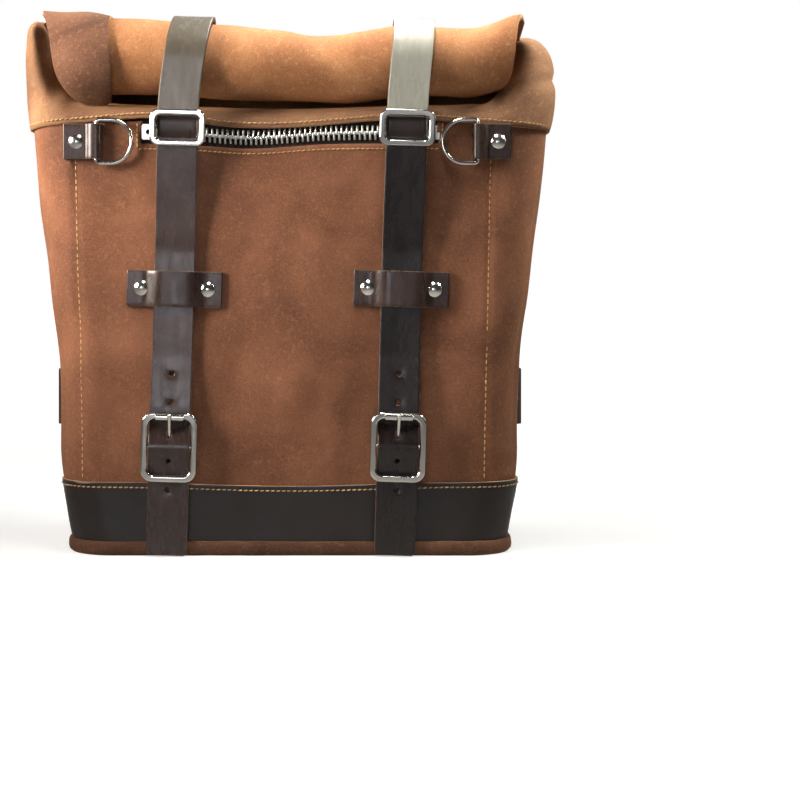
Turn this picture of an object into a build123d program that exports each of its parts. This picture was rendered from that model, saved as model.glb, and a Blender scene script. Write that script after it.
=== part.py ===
from build123d import *
import os
from math import asin, atan2, cos, degrees, radians, sin, tan

# A roll-top leather saddlebag. Millimetres, +Z up, the front faces -Y, and the origin is under the
# middle of the whole object, on the surface that it stands on.

# Driving dimensions
leather = 2.4                # suede of the walls
front_y, back_y = -72.6, 67.4
mid_y = (front_y + back_y) / 2
half_depth = (back_y - front_y) / 2
corner = 26.0                # round of the upright edges
seam_x = 131.0               # upright seams between front, sides and back
floor_top = 3.0              # top of the sole, where the walls stand
seam_z = 272.0               # seam between the walls and the collar
widths = [(3.0, 136.5), (50.0, 146.0), (110.0, 145.5), (272.0, 165.5)]   # height, half width

strap_w, strap_t = 25.4, 3.0
strap_x = (-72.5, 69.5)      # middle of each strap at strap_mid_z
strap_mid_z = 160.0
strap_lean = 1.6             # degrees, tops of the straps lean to +X
sides = ("left", "right")

roll_r = 25.0                # outside of the rolled mouth
roll_sheet = 4.0             # the flattened mouth is rolled double
roll_y, roll_z = front_y + 12.5, 309.5
roll_half = 151.0

# Buckle, with heights from the floor and distances out from the front wall
frame_w, frame_low, frame_high, frame_bar = 34.5, 47.0, 90.2, 4.0
frame_out = 10.9
axle_r, roller_r, roller_len = 1.4, 2.6, 17.0
roller_z = 87.4
heel_z, heel_out, heel_r = 68.6, 8.4, 1.6
eye_r = 3.1
hole_pitch, hole_rise = 17.9, 9.5   # holes up and down from this far above the heel bar
hole_r = 1.6

keeper_z, keeper_w, keeper_h, keeper_t = 167.0, 60.5, 21.4, 2.4
keeper_rivet_x = 20.6
cap_r, cap_h, shank_r = 4.75, 1.9, 1.5

slider_z, slider_w, slider_h = 267.0, 34.5, 22.6
slider_travel = 50.0

zip_z, zip_left, zip_right = 265.0, -92.0, 92.0
tooth_pitch, tooth_reach, tooth_lap = 3.64, 4.55, 0.9
window_low = 258.0
zip_slider_x = -73.5
pull_len, pull_w, pull_t = 19.0, 9.6, 1.4
pull_out = 3.2

dring_z, dring_h, dring_depth, dring_wire = 259.0, 27.2, 22.2, 1.45
dring_x = (-121.0, 117.5)    # axis of each ring's straight bar
dring_out = 3.75
tab_h, tab_len = 21.4, 20.5

tube_r = 8.25                # loops that take a 16 mm rack tube
loop_r = 10.7
upper_loop_x, upper_loop_z, upper_loop_w = 118.0, 226.0, 36.0
lower_loop_z, lower_loop_w = 100.0, 60.0
loop_tail, loop_t = 42.0, 3.0

parts = {}


def keep(name, shape, label=None):
    """Store a finished sub-part under its node name."""
    parts[name] = shape
    return shape


def slab(z0, z1, half_w, y0, y1, radius):
    """An upright block with round upright edges."""
    outline = RectangleRounded(2 * half_w, y1 - y0, radius)
    return Pos(0, (y0 + y1) / 2, z0) * extrude(outline, z1 - z0)


def tub(grow, low, high):
    """The walls' outer shape moved out by grow, between two heights."""
    outlines = [
        Pos(0, mid_y, z) * RectangleRounded(2 * (half + grow), 2 * (half_depth + grow), corner + grow)
        for z, half in widths
    ]
    body = loft(outlines, ruled=True)
    reach = 2 * (max(half for _, half in widths) + 20)
    return body & Pos(0, mid_y, (low + high) / 2) * Box(reach, reach, high - low)


def beside(points, radii, amount):
    """The line that runs this far to the left of a rounded line of points."""
    run = [Vector(*p) for p in points]
    way = [(b - a).normalized() for a, b in zip(run, run[1:])]
    left = [Vector(-w.Y, w.X) for w in way]
    moved = [run[0] + left[0] * amount]
    bends = []
    for n, radius in enumerate(radii):
        turn = way[n].X * way[n + 1].Y - way[n].Y * way[n + 1].X
        moved.append(run[n + 1] + (left[n] + left[n + 1]) * (amount / (1 + left[n].dot(left[n + 1]))))
        bends.append(radius - amount if turn > 0 else radius + amount)
    moved.append(run[-1] + left[-1] * amount)
    return FilletPolyline(*moved, radius=bends)


def ribbon(points, radii, thickness, width, plane=Plane.YZ):
    """A strip of leather: its middle line in the plane, given a thickness and a width."""
    one = beside(points, radii, thickness / 2)
    other = beside(points, radii, -thickness / 2)
    ends = [Line(one @ 0, other @ 0), Line(one @ 1, other @ 1)]
    outline = make_face(Wire([*one.edges(), *other.edges(), *ends]))
    return extrude(plane * outline, width / 2, both=True)


def out(y_out):
    """The Y of a point that stands this far out from the front wall."""
    return front_y - y_out


def front(points):
    """Points given as (distance out from the front wall, height), as (y, z)."""
    return [(out(o), z) for o, z in points]


def on_strap(side, shape):
    """Place what was built about x = 0 on the left or right strap's line."""
    turn = Location((strap_x[side], 0, strap_mid_z), (0, strap_lean, 0))
    return turn * Pos(0, 0, -strap_mid_z) * shape


def along_x(radius, length, y, z):
    return Pos(0, y, z) * Rot(0, 90, 0) * Cylinder(radius, length)


def along_y(radius, y0, y1, x, z):
    return Pos(x, (y0 + y1) / 2, z) * Rot(90, 0, 0) * Cylinder(radius, y1 - y0)


def rivet(x, z, face_y, inner_y, sign=-1):
    """A double-cap rivet through leather from face_y to inner_y; sign is the way its dome faces in Y."""
    ball_r = (cap_r**2 + cap_h**2) / (2 * cap_h)
    ball = Pos(x, face_y - sign * (ball_r - cap_h), z) * Sphere(ball_r)
    y0, y1 = sorted((face_y, face_y + sign * (cap_h + 1)))
    dome = ball & along_y(cap_r, y0, y1, x, z)
    y0, y1 = sorted((face_y, inner_y))
    shank = along_y(shank_r, y0, y1, x, z)
    y0, y1 = sorted((inner_y, inner_y - sign * 1.0))
    return dome + shank + along_y(cap_r - 0.75, y0, y1, x, z)


# Walls -----------------------------------------------------------------------------------------

def walls():
    """Front, back and two side walls, from one tapered tub cut at the upright seams."""
    shell = tub(0, floor_top, seam_z) - tub(-leather, floor_top - 1, seam_z + 1)
    span = Pos(0, 0, seam_z / 2) * Box(2 * seam_x, 400, 2 * seam_z)
    ahead = Pos(0, mid_y - 200, 0) * Box(600, 400, 900)
    window = Pos(0, front_y, (window_low + seam_z) / 2) * Box(
        zip_right - zip_left + 4, 20, seam_z - window_low + 0.001
    )
    middle = shell & span
    flanks = shell - span
    left_half = Pos(-300, 0, 0) * Box(600, 600, 900)
    return {
        "front_panel": (middle & ahead) - window,
        "back_panel": middle - ahead,
        "side_panel_left": flanks & left_half,
        "side_panel_right": flanks - left_half,
    }


def base():
    """The band round the foot of the walls, the sole with its lip, and the board inside."""
    band_t, band_top, lip, lip_top = 2.0, 46.0, 3.2, 9.0
    band = tub(band_t, floor_top, band_top) - tub(0, floor_top - 1, band_top + 1)
    grow = band_t + lip
    sole = slab(0, lip_top, widths[0][1] + 1.2 + grow, front_y - grow, back_y + grow, corner + grow)
    sole -= tub(band_t, floor_top, lip_top + 1)
    board = slab(floor_top, floor_top + 2, 133.4, front_y + 3, back_y - 3, corner - 3)
    return {"base_band": band, "base_sole": sole, "base_board": board}


def back_board():
    """The stiff board inside the back, which the rivets of the loops and straps bear on."""
    low, high, thick = 6.0, 270.0, 2.6
    outline = make_face(Polyline((-106, low), (106, low), (131, high), (-131, high), (-106, low)))
    return extrude(Plane.XZ.offset(-(back_y - leather - 0.05)) * outline, thick)


# Rolled mouth ----------------------------------------------------------------------------------

def tangent_corner(y0, z0, radius):
    """Where the line from (y0, z0), laid over a circle about the roll, meets the roll's front upright."""
    away_y, away_z = y0 - roll_y, roll_z - z0
    rise = atan2(away_z, away_y) + asin(radius / (away_y**2 + away_z**2) ** 0.5)
    return roll_y - radius, z0 + (y0 - roll_y + radius) * tan(rise)


def rolled_mouth():
    """Flattened mouth: up the back, forward over the top, then two turns inward."""
    r = roll_r - roll_sheet / 2
    rear = back_y - roll_sheet / 2
    points = [(rear, seam_z), (rear, 296.0), tangent_corner(rear, 296.0, r)]
    radii = [18.0, r - 0.1]
    insets = [turn * 5.2 + part for turn in range(3) for part in (0, 1.6, 3.4, 5.2)]
    corners = [(-1, -1), (1, -1), (1, 1), (-1, 1)] * 2
    for n, (to_y, to_z) in enumerate(corners):
        reach = (r - insets[n], r - insets[n + 1])
        reach_y, reach_z = reach if n % 2 == 0 else reach[::-1]
        points.append((roll_y + to_y * reach_y, roll_z + to_z * reach_z))
        radii.append(min(reach) - 0.3)
    points[-1] = (roll_y, points[-1][1])
    return ribbon(points, radii[:len(points) - 2], roll_sheet, 2 * roll_half)


def shoulder(sign):
    """Folded end of the collar: a hollow cap between the side wall and the roll's end."""
    inner_x, outer_x = roll_half + 1.5, 167.5
    points = [
        (front_y, seam_z), (front_y, 292), (-74, 322), (-58, 341), (40, 316),
        (back_y, 298), (back_y, seam_z), (front_y, seam_z),
    ]
    outline = make_face(Polyline(*points))
    outline = fillet(outline.vertices().filter_by_position(Axis.Y, seam_z + 1, 400), 12)
    cap = extrude(Plane.YZ * outline, outer_x - inner_x)
    hollow = extrude(Plane.YZ * offset(outline, -leather), outer_x - inner_x - leather)
    open_foot = Pos((outer_x - inner_x - leather) / 2, mid_y, seam_z) * Box(
        outer_x - inner_x - leather, 2 * half_depth - 2 * leather, 2 * leather + 1
    )
    cap = Pos(inner_x, 0, 0) * (cap - hollow - open_foot)
    return cap if sign > 0 else mirror(cap, Plane.YZ)


def collar_front():
    """Front of the collar, from the seam to under the roll."""
    y = front_y + leather / 2
    return ribbon([(y, seam_z), (y, 277.5), (-46, 284)], [3.0], leather, 2 * roll_half)


def mouth_batten():
    """Stiff strip sewn in the mouth's edge, which the leather is rolled round."""
    return Pos(0, roll_y, roll_z) * Box(270, 3, 12)


# Zip and pocket --------------------------------------------------------------------------------

def zip_tapes():
    y = front_y + leather + 0.45
    length = zip_right - zip_left + 6
    upper = Pos(0, y, (zip_z + tooth_reach + seam_z) / 2 + 0.05) * Box(
        length, 0.8, seam_z - zip_z - tooth_reach - 0.1
    )
    low = 250.0
    lower = Pos(0, y, (low + zip_z - tooth_reach) / 2 - 0.05) * Box(length, 0.8, zip_z - tooth_reach - low)
    return {"zip_tape_upper": upper, "zip_tape_lower": lower}


def tooth_row(up):
    """One side's teeth: each a shank with a wider head that laps the zip's middle line."""
    first = zip_slider_x - 4.5 + (0 if up > 0 else tooth_pitch / 2)
    count = int((zip_right - 3 - first) / tooth_pitch)
    y = front_y + 2.3
    head = Pos(0, y, zip_z) * Box(1.6, 3.4, 2 * tooth_lap)
    shank = Pos(0, y, zip_z + up * (tooth_reach + tooth_lap) / 2) * Box(1.4, 4.0, tooth_reach - tooth_lap)
    tooth = head + shank
    return Compound([Pos(first + n * tooth_pitch, 0, 0) * tooth for n in range(count)])


def zip_stops():
    """Metal stops that end the chain: two at the closed end and a box at the open end."""
    y = front_y + 2.3
    closed = [Pos(zip_slider_x - 8.4, y, zip_z + up * 2.6) * Box(2.4, 3.6, 3.6) for up in (-1, 1)]
    return Compound(closed + [Pos(zip_right + 0.6, y, zip_z) * Box(2.6, 3.8, 8.6)])


def zip_slider():
    """Slider's front plate with its flanges and pull pin, and its rear plate behind the chain."""
    length, half_z, plate = 12.0, 6.2, 1.3
    front_plate = Pos(0, out(plate / 2 + 0.05), 0) * Box(length, plate, 2 * half_z)
    front_plate = chamfer(front_plate.edges().filter_by(Axis.Z).group_by(Axis.Y)[0], 0.8)
    flange = Box(length - 1, 2.0, 1.3)
    for up in (-1, 1):
        front_plate += Pos(0, out(-0.95), up * (half_z - 0.65)) * flange
        front_plate += Pos(0, out(plate + 1.3), up * 3.6) * Box(3.2, 3.0, 1.2)
    front_plate += Pos(0, out(pull_out), 0) * Cylinder(0.8, 7.6)
    rear_plate = Pos(0, out(-5.4), 0) * Box(length, plate, 2 * half_z)
    return Pos(zip_slider_x, 0, zip_z) * Compound([front_plate, rear_plate])


def zip_pull():
    """Pull tab on the slider's pin, pointing to the closed end."""
    eye_len = 4.6
    arm = Pos(-(pull_len - 5) / 2 - 5, 0, 0) * Box(pull_len - 5, pull_t, pull_w)
    arm = fillet(arm.edges().filter_by(Axis.Y), 1.2)
    neck = Pos(-3.2, 0, 0) * Box(4.6, pull_t, eye_len)
    tab = arm + neck + Cylinder(1.6, eye_len) - Cylinder(0.86, 20)
    tab -= Pos(-pull_len + 4, 0, 0) * Rot(90, 0, 0) * Cylinder(1.5, 10)
    return Pos(zip_slider_x, out(pull_out), zip_z) * tab


def pocket_lining():
    """Pocket bag behind the zip: one cloth folded at the foot."""
    near, far, foot = front_y + 4.3, front_y + 10.5, 120.0
    points = [(near, 249), (near, foot), (far, foot), (far, 268.0)]
    return ribbon(points, [2.8, 2.8], 0.8, 188)


# Straps and their hardware ---------------------------------------------------------------------

strap_low = 1.0
strap_foot_out = 7.1                                    # over the chape and the lip
strap_crest_out = heel_out + eye_r + 0.9 + strap_t / 2    # over the buckle's heel bar
strap_under_out = frame_out - roller_r - 0.3 - strap_t / 2  # under the roller
strap_keeper_out = 2.7
strap_roll_out = front_y - roll_y + roll_r + 0.9 + strap_t / 2
strap_low_straight, strap_high_straight = 190.0, 300.0
strap_slope = degrees(atan2(strap_roll_out - strap_keeper_out, strap_high_straight - strap_low_straight))


def strap(side):
    """One long strap: tip at the foot, through the buckle, over the roll, riveted to the back."""
    over_r = roll_r + 0.5 + strap_t / 2
    rear = back_y + 1.8
    top = tangent_corner(rear, 299.0, over_r)
    points = front([
        (strap_foot_out, strap_low),
        (strap_foot_out, 53.0),
        (strap_crest_out, heel_z),
        (strap_under_out, 85.5),
        (strap_under_out, 93.0),
        (strap_keeper_out, 122.0),
        (strap_keeper_out, strap_low_straight),
        (strap_roll_out, strap_high_straight),
    ]) + [(top[0] - 0.4, top[1] + 0.2), (rear, 299.0), (rear, 243.0)]
    radii = [8.0, 6.0, 6.0, 6.0, 20.0, 30.0, 30.0, over_r - 1, 19.0]
    body = ribbon(points, radii, strap_t, strap_w)
    for n in range(-2, 3):
        z = heel_z + hole_rise + n * hole_pitch
        punch = along_y(hole_r, out(20), out(0.5), 0, z)
        if n == 0:
            punch = extrude(Plane.XZ.offset(-out(0.5)) * SlotOverall(8.8, 3.2, rotation=90), 20)
            punch = Pos(0, 0, heel_z + 7.9) * punch
        body -= punch
    nick = Rot(0, 45, 0) * Box(6, 60, 6)
    for edge in (-1, 1):
        body -= Pos(edge * strap_w / 2, out(8), strap_low - strap_t / 2) * nick
    return on_strap(side, body)


def buckle_frame(side):
    """Rectangular frame with a heel bar set back, and a thin axle in the top for the roller."""
    height, middle = frame_high - frame_low, (frame_high + frame_low) / 2
    outer = RectangleRounded(frame_w, height, 7)
    inner = RectangleRounded(frame_w - 2 * frame_bar + 0.2, height - 2 * frame_bar, 4.6)
    frame = extrude(Plane.XZ * (outer - inner), frame_bar / 2, both=True)
    frame = fillet(frame.edges().group_by(Axis.Y)[0], 1.2)
    frame = Pos(0, out(frame_out), middle) * frame
    frame -= Pos(0, out(frame_out), roller_z) * Box(roller_len + 0.8, 12, 7)
    frame += along_x(axle_r, roller_len + 3, out(frame_out), roller_z)
    frame += along_x(heel_r, frame_w - frame_bar, out(heel_out), heel_z)
    return on_strap(side, frame)


def buckle_roller(side):
    tube = Cylinder(roller_r, roller_len) - Cylinder(axle_r + 0.06, roller_len + 2)
    return on_strap(side, Pos(0, out(frame_out), roller_z) * Rot(0, 90, 0) * tube)


def buckle_prong(side):
    """Prong on the heel bar, up through the strap's hole to rest on the roller."""
    root, tip, wire = (8.0, 70.5), (15.6, 88.6), 1.2
    run = ((tip[0] - root[0]) ** 2 + (tip[1] - root[1]) ** 2) ** 0.5
    tilt = degrees(atan2(tip[0] - root[0], tip[1] - root[1]))
    arm = Cylinder(wire, run, align=(Align.CENTER, Align.CENTER, Align.MIN)) + Pos(0, 0, run) * Sphere(wire)
    arm = Pos(0, out(root[0]), root[1]) * Rot(tilt, 0, 0) * arm
    eye = along_x(eye_r, 3.0, out(heel_out), heel_z)
    bore = along_x(heel_r + 0.06, 9.0, out(heel_out), heel_z)
    return on_strap(side, arm + eye - bore)


def buckle_chape(side):
    """Short strap folded round the heel bar, with a slot for the prong, and sewn down over the band."""
    tail = ribbon(front([(3.8, 24.0), (3.8, 57.0), (6.2, 64.0), (7.2, 66.5)]), [6.0, 3.0], 3.0, 24.0)
    fold = along_x(eye_r, 24.0, out(heel_out), heel_z)
    bore = along_x(heel_r + 0.06, 40.0, out(heel_out), heel_z)
    slot = Pos(0, out(heel_out), heel_z) * Box(4.4, 12, 7.6)
    return on_strap(side, tail + fold - bore - slot)


def keeper(side):
    """Riveted leather loop that holds the strap down."""
    foot, crest = keeper_t / 2 + 0.1, strap_keeper_out + strap_t / 2 + 0.3 + keeper_t / 2
    half, edge = keeper_w / 2 - keeper_t / 2, strap_w / 2
    points = [
        (-half, out(foot)), (-edge - 4.6, out(foot)), (-edge - 1.2, out(crest)),
        (edge + 1.2, out(crest)), (edge + 4.6, out(foot)), (half, out(foot)),
    ]
    loop = ribbon(points, [2.0] * 4, keeper_t, keeper_h, Plane.XY)
    return on_strap(side, Pos(0, 0, keeper_z) * loop)


def keeper_rivets(side):
    face, inner = out(keeper_t + 0.1), front_y + leather
    pair = [rivet(sign * keeper_rivet_x, keeper_z, face, inner) for sign in (-1, 1)]
    return on_strap(side, Compound(pair))


def strap_anchor_rivets(side):
    """Rivets that hold the strap's end on the back, through wall and board."""
    face, inner = back_y + 1.8 + strap_t / 2, back_y - leather - 2.7
    pair = [rivet(0, z, face, inner, sign=1) for z in (251.0, 264.5)]
    return on_strap(side, Compound(pair))


def strap_slider(side):
    """Metal slide: a flat frame before the strap and a bar behind it, joined beyond the strap's edges."""
    bar, rear_r, gap = 3.2, 1.3, 0.25
    ahead, behind = strap_t / 2 + gap + bar / 2, strap_t / 2 + gap + rear_r
    outer = RectangleRounded(slider_w, slider_h, 5.5)
    inner = RectangleRounded(slider_w - 2 * 3.9, slider_h - 2 * 3.6, 3.0)
    frame = extrude(Plane.XZ * (outer - inner), bar / 2, both=True)
    frame = fillet(frame.edges().group_by(Axis.Y)[0], 1.1)
    leg_x = slider_w / 2 - 1.9
    piece = Pos(0, -ahead, 0) * frame + along_x(rear_r, 2 * leg_x, behind, 0)
    for sign in (-1, 1):
        piece += along_y(rear_r, -ahead, behind, sign * leg_x, 0)
        piece += Pos(sign * leg_x, behind, 0) * Sphere(rear_r)
    middle = strap_keeper_out + (slider_z - strap_low_straight) * tan(radians(strap_slope))
    return on_strap(side, Pos(0, out(middle), slider_z) * Rot(strap_slope, 0, 0) * piece)


# Rings and loops -------------------------------------------------------------------------------

def dring_tab(side):
    """Leather tab folded round the ring's bar, its two layers riveted down."""
    away = -1 if side == 0 else 1
    fold_r, low = 3.6, 0.1
    plate = Box(tab_len, 4.2, tab_h)
    plate = Pos(dring_x[side] + away * tab_len / 2, out(low + 2.1), dring_z) * plate
    fold = Pos(dring_x[side], out(dring_out), dring_z) * Cylinder(fold_r, tab_h)
    bore = Pos(dring_x[side], out(dring_out), dring_z) * Cylinder(dring_wire + 0.08, tab_h + 2)
    return plate + fold - bore


def dring(side):
    """D-shaped wire ring: a straight bar and a bow towards the bag's middle."""
    way = 1 if side == 0 else -1
    half, flat = dring_h / 2, dring_depth - dring_h / 2
    bow = CenterArc((flat, 0), half, -90, 180)
    legs = [Line((2.6, half), (flat, half)), Line((2.6, -half), (flat, -half))]
    corners = [CenterArc((2.6, half - 2.6), 2.6, 90, 90), CenterArc((2.6, 2.6 - half), 2.6, 180, 90)]
    bar = Line((0, 2.6 - half), (0, half - 2.6))
    path = Wire([bar, corners[0], legs[0], bow, legs[1], corners[1]])
    ring = sweep(Plane((0, 0, 0), z_dir=(0, 1, 0)) * Circle(dring_wire), path=path)
    ring = Rot(90, 0, 0) * ring
    if way < 0:
        ring = mirror(ring, Plane.YZ)
    return Pos(dring_x[side], out(dring_out), dring_z) * ring


def dring_rivet(side):
    away = -1 if side == 0 else 1
    return rivet(dring_x[side] + away * 12.6, dring_z, out(4.3), front_y + leather)


def tube_loop(x, z, width):
    """Leather loop for a rack tube, with a tail riveted to the back."""
    y = back_y + loop_r + 0.1
    ring = along_x(loop_r, width, y, z)
    tail = Pos(0, back_y + 0.1 + loop_t / 2, z - loop_tail / 2) * Box(width, loop_t, loop_tail)
    return Pos(x, 0, 0) * (ring + tail - along_x(tube_r, width + 2, y, z))


def tube_loop_rivets(x, z, spread):
    face, inner = back_y + 0.1 + loop_t, back_y - leather - 2.7
    return Compound([rivet(x + s * spread, z - 31.0, face, inner, sign=1) for s in (-1, 1)])


def side_half(z):
    """Half width of the walls at a height."""
    for (z0, w0), (z1, w1) in zip(widths, widths[1:]):
        if z <= z1:
            return w0 + (w1 - w0) * (z - z0) / (z1 - z0)
    return widths[-1][1]


side_loop_z, side_loop_h, side_loop_gap = 95.0, 37.0, 6.5
side_loop_feet, side_loop_span, side_loop_y = 30.0, 17.0, 4.0


def side_loop(sign):
    """Leather loop on the side, for a strap up to 25 mm wide; its feet are riveted flat."""
    thick = 2.8
    face = side_half(side_loop_z - side_loop_h / 2) + 0.35
    foot, crest = face + thick / 2, face + side_loop_gap + thick / 2
    points = [(foot, -side_loop_feet), (foot, -side_loop_span), (crest, -side_loop_span + 3.5),
              (crest, side_loop_span - 3.5), (foot, side_loop_span), (foot, side_loop_feet)]
    loop = ribbon(points, [2.4] * 4, thick, side_loop_h, Plane.XY)
    loop = Pos(0, side_loop_y, side_loop_z) * loop
    return loop if sign > 0 else mirror(loop, Plane.YZ)


def side_loop_rivets(sign):
    thick = 2.8
    face = side_half(side_loop_z - side_loop_h / 2) + 0.35 + thick
    inner = side_half(side_loop_z) - leather - 0.4
    flat = [rivet(s * 24.0, 0, -face, -inner) for s in (-1, 1)]
    pair = Pos(0, side_loop_y, side_loop_z) * Rot(0, 0, 90) * Compound(flat)
    return pair if sign > 0 else mirror(pair, Plane.YZ)


# Build -----------------------------------------------------------------------------------------

parts.update(walls())
parts.update(base())
parts["back_board"] = back_board()
parts["roll_top"] = rolled_mouth()
parts["collar_front"] = collar_front()
parts["mouth_batten"] = mouth_batten()
parts.update(zip_tapes())
parts["zip_teeth_upper"] = tooth_row(1)
parts["zip_teeth_lower"] = tooth_row(-1)
parts["zip_stops"] = zip_stops()
parts["zip_slider"] = zip_slider()
parts["zip_pull"] = zip_pull()
parts["pocket_lining"] = pocket_lining()
for n, name in enumerate(sides):
    sign = -1 if n == 0 else 1
    parts[f"shoulder_{name}"] = shoulder(sign)
    parts[f"strap_{name}"] = strap(n)
    parts[f"strap_slider_{name}"] = strap_slider(n)
    parts[f"strap_anchor_rivets_{name}"] = strap_anchor_rivets(n)
    parts[f"buckle_frame_{name}"] = buckle_frame(n)
    parts[f"buckle_roller_{name}"] = buckle_roller(n)
    parts[f"buckle_prong_{name}"] = buckle_prong(n)
    parts[f"buckle_chape_{name}"] = buckle_chape(n)
    parts[f"keeper_{name}"] = keeper(n)
    parts[f"keeper_rivets_{name}"] = keeper_rivets(n)
    parts[f"dring_tab_{name}"] = dring_tab(n)
    parts[f"dring_{name}"] = dring(n)
    parts[f"dring_rivet_{name}"] = dring_rivet(n)
    parts[f"side_loop_{name}"] = side_loop(sign)
    parts[f"side_loop_rivets_{name}"] = side_loop_rivets(sign)
    parts[f"tube_loop_{name}"] = tube_loop(sign * upper_loop_x, upper_loop_z, upper_loop_w)
    parts[f"tube_loop_rivets_{name}"] = tube_loop_rivets(sign * upper_loop_x, upper_loop_z, 10.0)
parts["tube_loop_lower"] = tube_loop(0, lower_loop_z, lower_loop_w)
parts["tube_loop_rivets_lower"] = tube_loop_rivets(0, lower_loop_z, 20.0)

# Every rivet's shank passes through a hole of its own size in what it holds.
held_by = {
    "keeper_rivets_left": ["keeper_left", "front_panel"],
    "keeper_rivets_right": ["keeper_right", "front_panel"],
    "dring_rivet_left": ["dring_tab_left", "front_panel", "side_panel_left"],
    "dring_rivet_right": ["dring_tab_right", "front_panel", "side_panel_right"],
    "side_loop_rivets_left": ["side_loop_left", "side_panel_left"],
    "side_loop_rivets_right": ["side_loop_right", "side_panel_right"],
    "strap_anchor_rivets_left": ["strap_left", "back_panel", "back_board"],
    "strap_anchor_rivets_right": ["strap_right", "back_panel", "back_board"],
    "tube_loop_rivets_left": ["tube_loop_left", "back_panel", "back_board"],
    "tube_loop_rivets_right": ["tube_loop_right", "back_panel", "back_board"],
    "tube_loop_rivets_lower": ["tube_loop_lower", "back_panel", "back_board"],
}
for pins, held in held_by.items():
    for name in held:
        parts[name] = parts[name] - parts[pins]

os.makedirs("parts", exist_ok=True)
for name, shape in parts.items():
    shape.label = name
    export_step(shape, f"parts/{name}.step")

box = Compound([solid for shape in parts.values() for solid in shape.solids()]).bounding_box()
print("box", box.min, box.max, "strap slope", round(strap_slope, 3))
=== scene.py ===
import bmesh
import bpy
import numpy as np
from mathutils import Matrix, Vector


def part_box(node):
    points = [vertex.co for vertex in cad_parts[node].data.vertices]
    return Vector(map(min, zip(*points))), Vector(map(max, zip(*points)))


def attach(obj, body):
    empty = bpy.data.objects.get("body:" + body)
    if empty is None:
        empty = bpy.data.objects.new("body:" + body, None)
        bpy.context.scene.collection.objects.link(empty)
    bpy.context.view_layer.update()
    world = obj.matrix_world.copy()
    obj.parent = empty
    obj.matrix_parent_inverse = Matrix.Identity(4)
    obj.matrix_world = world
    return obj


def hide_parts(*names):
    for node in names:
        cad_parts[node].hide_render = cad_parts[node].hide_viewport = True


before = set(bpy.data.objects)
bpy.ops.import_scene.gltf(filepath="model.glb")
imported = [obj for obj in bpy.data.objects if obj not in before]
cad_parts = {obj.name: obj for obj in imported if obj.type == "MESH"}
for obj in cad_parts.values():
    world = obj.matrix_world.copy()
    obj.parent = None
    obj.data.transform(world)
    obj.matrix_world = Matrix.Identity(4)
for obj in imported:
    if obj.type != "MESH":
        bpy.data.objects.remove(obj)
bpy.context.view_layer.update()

mm = 0.001


# colours and nodes

def toLinear(hexColour):
    # sRGB to linear: v / 12.92 below 0.04045, else ((v + 0.055) / 1.055) to the power 2.4
    value = np.array([int(hexColour[i:i + 2], 16) / 255 for i in (1, 3, 5)])
    linear = np.where(value <= 0.04045, value / 12.92, ((value + 0.055) / 1.055) ** 2.4)
    return (*linear.tolist(), 1.0)


def addNode(tree, kind, settings=(), links=()):
    # settings: a socket's name or number, or the node's own property; links: a socket and what feeds it
    node = tree.nodes.new("ShaderNode" + kind)
    for key, value in dict(settings).items():
        if isinstance(key, str) and hasattr(node, key):
            setattr(node, key, value)
    for key, value in dict(settings).items():
        if isinstance(key, int) or not hasattr(node, key):
            node.inputs[key].default_value = value
    for key, source in dict(links).items():
        tree.links.new(source, node.inputs[key])
    return node


def ramp(tree, source, stops):
    # stops: (place, colour) pairs, colour as hex or a grey number
    node = addNode(tree, "ValToRGB", {}, {"Fac": source})
    marks = node.color_ramp.elements
    while len(marks) < len(stops):
        marks.new(0.5)
    for mark, (place, colour) in zip(marks, stops):
        mark.position = place
        mark.color = toLinear(colour) if isinstance(colour, str) else (colour, colour, colour, 1)
    return node.outputs["Color"]


def mixColours(tree, mode, amount, a, b):
    # one colour mixed over another; any of the three may be a socket or a value
    node = addNode(tree, "Mix", {"data_type": "RGBA", "blend_type": mode})
    for slot, value in ((0, amount), (6, a), (7, b)):
        if isinstance(value, bpy.types.NodeSocket):
            tree.links.new(value, node.inputs[slot])
        else:
            node.inputs[slot].default_value = toLinear(value) if isinstance(value, str) else value
    return node.outputs[2]


def startMaterial(name):
    # an empty material with object coordinates in metres
    material = bpy.data.materials.new(name)
    material.use_nodes = True
    tree = material.node_tree
    tree.nodes.clear()
    where = addNode(tree, "TexCoord").outputs["Object"]
    return material, tree, where


def noiseAt(tree, where, sizeMm, detail=3.0, roughness=0.55, distortion=0.0, stretch=(1, 1, 1)):
    # noise whose blobs are about sizeMm across
    spot = addNode(tree, "Mapping", {"Scale": stretch}, {"Vector": where}).outputs[0]
    return addNode(tree, "TexNoise", {"Scale": 1000.0 / sizeMm, "Detail": detail, "Roughness": roughness,
                                      "Distortion": distortion}, {"Vector": spot}).outputs["Fac"]


def bumps(tree, layers):
    # one bump over another: (height socket, strength, distance in mm)
    normal = None
    for height, strength, distance in layers:
        links = {"Height": height}
        if normal is not None:
            links["Normal"] = normal
        normal = addNode(tree, "Bump", {"Strength": strength, "Distance": distance * mm}, links).outputs[0]
    return normal


def finishMaterial(tree, settings, links):
    # the surface shader, joined to the material's output
    surface = addNode(tree, "BsdfPrincipled", settings, links)
    addNode(tree, "OutputMaterial", {}, {"Surface": surface.outputs[0]})


suedeLooks = {
    "napMm": 0.9,             # the nap's tufts, drawn about twice as coarse as real ones so that they show
    "cloudMm": 55.0,          # where hands and folds have turned the nap
    "poreMm": 2.6,
}


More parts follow.
